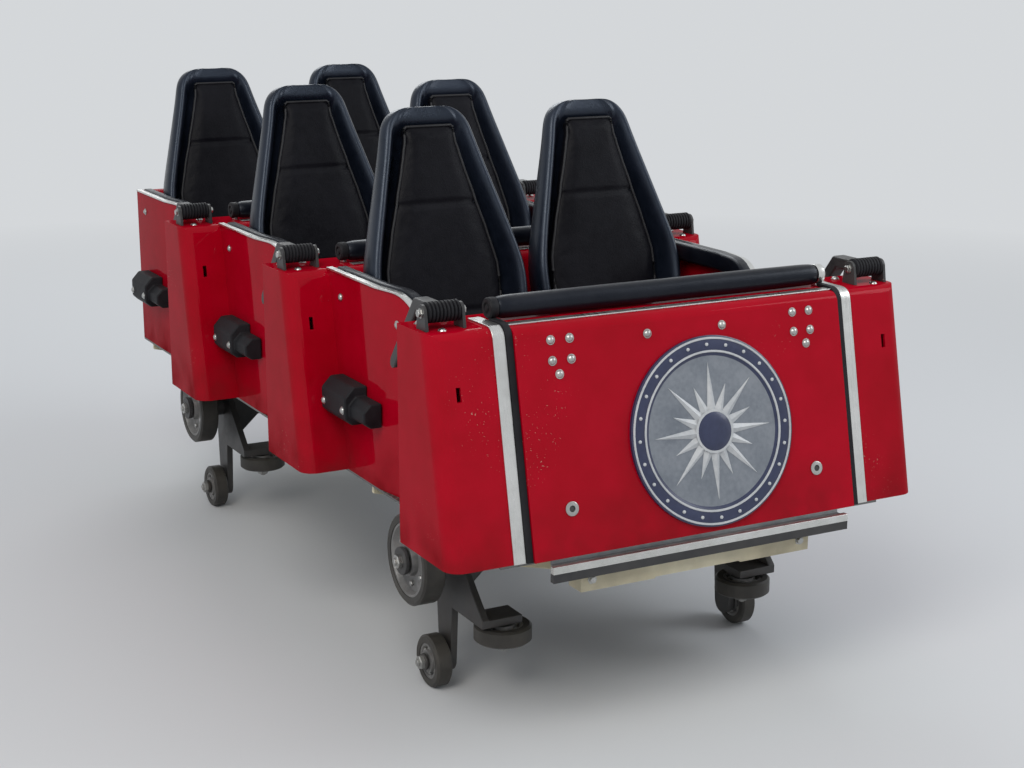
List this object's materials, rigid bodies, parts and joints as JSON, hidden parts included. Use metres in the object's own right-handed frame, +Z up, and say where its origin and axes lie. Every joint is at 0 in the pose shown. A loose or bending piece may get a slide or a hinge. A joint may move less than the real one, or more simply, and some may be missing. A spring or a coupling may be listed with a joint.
{
  "type": "roller coaster car",
  "caption": "Roller coaster car with stepped red row mouldings, black bucket seats, lap bars and road, guide and upstop wheels.",
  "frame": {"origin": "on the floor under the middle of the car's box, bumper bar to coupling eye, between its sides", "axes": "-Y is forwards, to the nose; -X is the riders' right side; +Z is up; the floor is under the upstop wheels"},
  "size_m": [1.36, 3.268, 1.4734],
  "materials": {
    "body_red": "gloss",
    "trim_bright": "satin",
    "pad_black": "satin",
    "seat_black": "semi-gloss",
    "step_black": "matt",
    "chassis_cream": "semi-gloss",
    "steel_dark": "satin",
    "steel_bright": "satin",
    "pan_grey": "matt",
    "console_grey": "gloss",
    "plate_blue": "satin",
    "wheel_tread": "satin"
  },
  "bodies": {
    "car": {"chassis_frame": "chassis_cream", "floor_pan": "pan_grey", "front_axle": "steel_dark", "rear_axle": "steel_dark", "row_fairing_1": "body_red", "row_fairing_2": "body_red", "row_fairing_3": "body_red", "side_walls_right": "body_red", "side_walls_left": "body_red", "side_trims": "trim_bright", "edge_pads": "pad_black", "step_blocks": "step_black", "tail_panel": "body_red", "nose_trim": "trim_bright", "dash_rolls": "pad_black", "medallion": "plate_blue", "consoles": "console_grey", "seat_shells_1": "seat_black", "seat_shells_2": "seat_black", "seat_shells_3": "seat_black", "seat_cushions": "pad_black", "lap_brackets": "steel_bright", "front_bar": "steel_bright", "drawbar": "steel_dark", "chain_dog": "steel_dark", "brake_fin": "steel_bright"},
    "lap_bar_1_right_body": {"lap_bar_1_right": "pad_black"},
    "lap_bar_1_left_body": {"lap_bar_1_left": "pad_black"},
    "lap_bar_2_right_body": {"lap_bar_2_right": "pad_black"},
    "lap_bar_2_left_body": {"lap_bar_2_left": "pad_black"},
    "lap_bar_3_right_body": {"lap_bar_3_right": "pad_black"},
    "lap_bar_3_left_body": {"lap_bar_3_left": "pad_black"},
    "road_wheel_fr_body": {"road_wheel_fr": "wheel_tread"},
    "road_wheel_fl_body": {"road_wheel_fl": "wheel_tread"},
    "road_wheel_rr_body": {"road_wheel_rr": "wheel_tread"},
    "road_wheel_rl_body": {"road_wheel_rl": "wheel_tread"},
    "guide_wheel_fr_body": {"guide_wheel_fr": "wheel_tread"},
    "guide_wheel_fl_body": {"guide_wheel_fl": "wheel_tread"},
    "guide_wheel_rr_body": {"guide_wheel_rr": "wheel_tread"},
    "guide_wheel_rl_body": {"guide_wheel_rl": "wheel_tread"},
    "upstop_wheel_fr_body": {"upstop_wheel_fr": "wheel_tread"},
    "upstop_wheel_fl_body": {"upstop_wheel_fl": "wheel_tread"},
    "upstop_wheel_rr_body": {"upstop_wheel_rr": "wheel_tread"},
    "upstop_wheel_rl_body": {"upstop_wheel_rl": "wheel_tread"}
  },
  "joints": [
    {"name": "lap_bar_1_right_lift", "type": "hinge", "parent": "car", "child": "lap_bar_1_right_body", "pos_m": [-0.615, -1.428, 1.08], "axis": [1, 0, 0], "range_deg": [0, 75]},
    {"name": "lap_bar_1_left_lift", "type": "hinge", "parent": "car", "child": "lap_bar_1_left_body", "pos_m": [0.615, -1.428, 1.08], "axis": [1, 0, 0], "range_deg": [0, 75]},
    {"name": "lap_bar_2_right_lift", "type": "hinge", "parent": "car", "child": "lap_bar_2_right_body", "pos_m": [-0.615, -0.528, 1.08], "axis": [1, 0, 0], "range_deg": [0, 75]},
    {"name": "lap_bar_2_left_lift", "type": "hinge", "parent": "car", "child": "lap_bar_2_left_body", "pos_m": [0.615, -0.528, 1.08], "axis": [1, 0, 0], "range_deg": [0, 75]},
    {"name": "lap_bar_3_right_lift", "type": "hinge", "parent": "car", "child": "lap_bar_3_right_body", "pos_m": [-0.615, 0.372, 1.08], "axis": [1, 0, 0], "range_deg": [0, 75]},
    {"name": "lap_bar_3_left_lift", "type": "hinge", "parent": "car", "child": "lap_bar_3_left_body", "pos_m": [0.615, 0.372, 1.08], "axis": [1, 0, 0], "range_deg": [0, 75]},
    {"name": "road_wheel_fr_turn", "type": "hinge", "parent": "car", "child": "road_wheel_fr_body", "pos_m": [-0.53, -1.088, 0.36], "axis": [1, 0, 0], "continuous": true},
    {"name": "road_wheel_fl_turn", "type": "hinge", "parent": "car", "child": "road_wheel_fl_body", "pos_m": [0.53, -1.088, 0.36], "axis": [1, 0, 0], "continuous": true},
    {"name": "road_wheel_rr_turn", "type": "hinge", "parent": "car", "child": "road_wheel_rr_body", "pos_m": [-0.53, 0.672, 0.36], "axis": [1, 0, 0], "continuous": true},
    {"name": "road_wheel_rl_turn", "type": "hinge", "parent": "car", "child": "road_wheel_rl_body", "pos_m": [0.53, 0.672, 0.36], "axis": [1, 0, 0], "continuous": true},
    {"name": "guide_wheel_fr_turn", "type": "hinge", "parent": "car", "child": "guide_wheel_fr_body", "pos_m": [-0.372, -1.268, 0.194], "axis": [0, 0, 1], "continuous": true},
    {"name": "guide_wheel_fl_turn", "type": "hinge", "parent": "car", "child": "guide_wheel_fl_body", "pos_m": [0.372, -1.268, 0.194], "axis": [0, 0, 1], "continuous": true},
    {"name": "guide_wheel_rr_turn", "type": "hinge", "parent": "car", "child": "guide_wheel_rr_body", "pos_m": [-0.372, 0.492, 0.194], "axis": [0, 0, 1], "continuous": true},
    {"name": "guide_wheel_rl_turn", "type": "hinge", "parent": "car", "child": "guide_wheel_rl_body", "pos_m": [0.372, 0.492, 0.194], "axis": [0, 0, 1], "continuous": true},
    {"name": "upstop_wheel_fr_turn", "type": "hinge", "parent": "car", "child": "upstop_wheel_fr_body", "pos_m": [-0.481, -1.088, 0.07], "axis": [1, 0, 0], "continuous": true},
    {"name": "upstop_wheel_fl_turn", "type": "hinge", "parent": "car", "child": "upstop_wheel_fl_body", "pos_m": [0.481, -1.088, 0.07], "axis": [1, 0, 0], "continuous": true},
    {"name": "upstop_wheel_rr_turn", "type": "hinge", "parent": "car", "child": "upstop_wheel_rr_body", "pos_m": [-0.481, 0.672, 0.07], "axis": [1, 0, 0], "continuous": true},
    {"name": "upstop_wheel_rl_turn", "type": "hinge", "parent": "car", "child": "upstop_wheel_rl_body", "pos_m": [0.481, 0.672, 0.07], "axis": [1, 0, 0], "continuous": true}
  ]
}
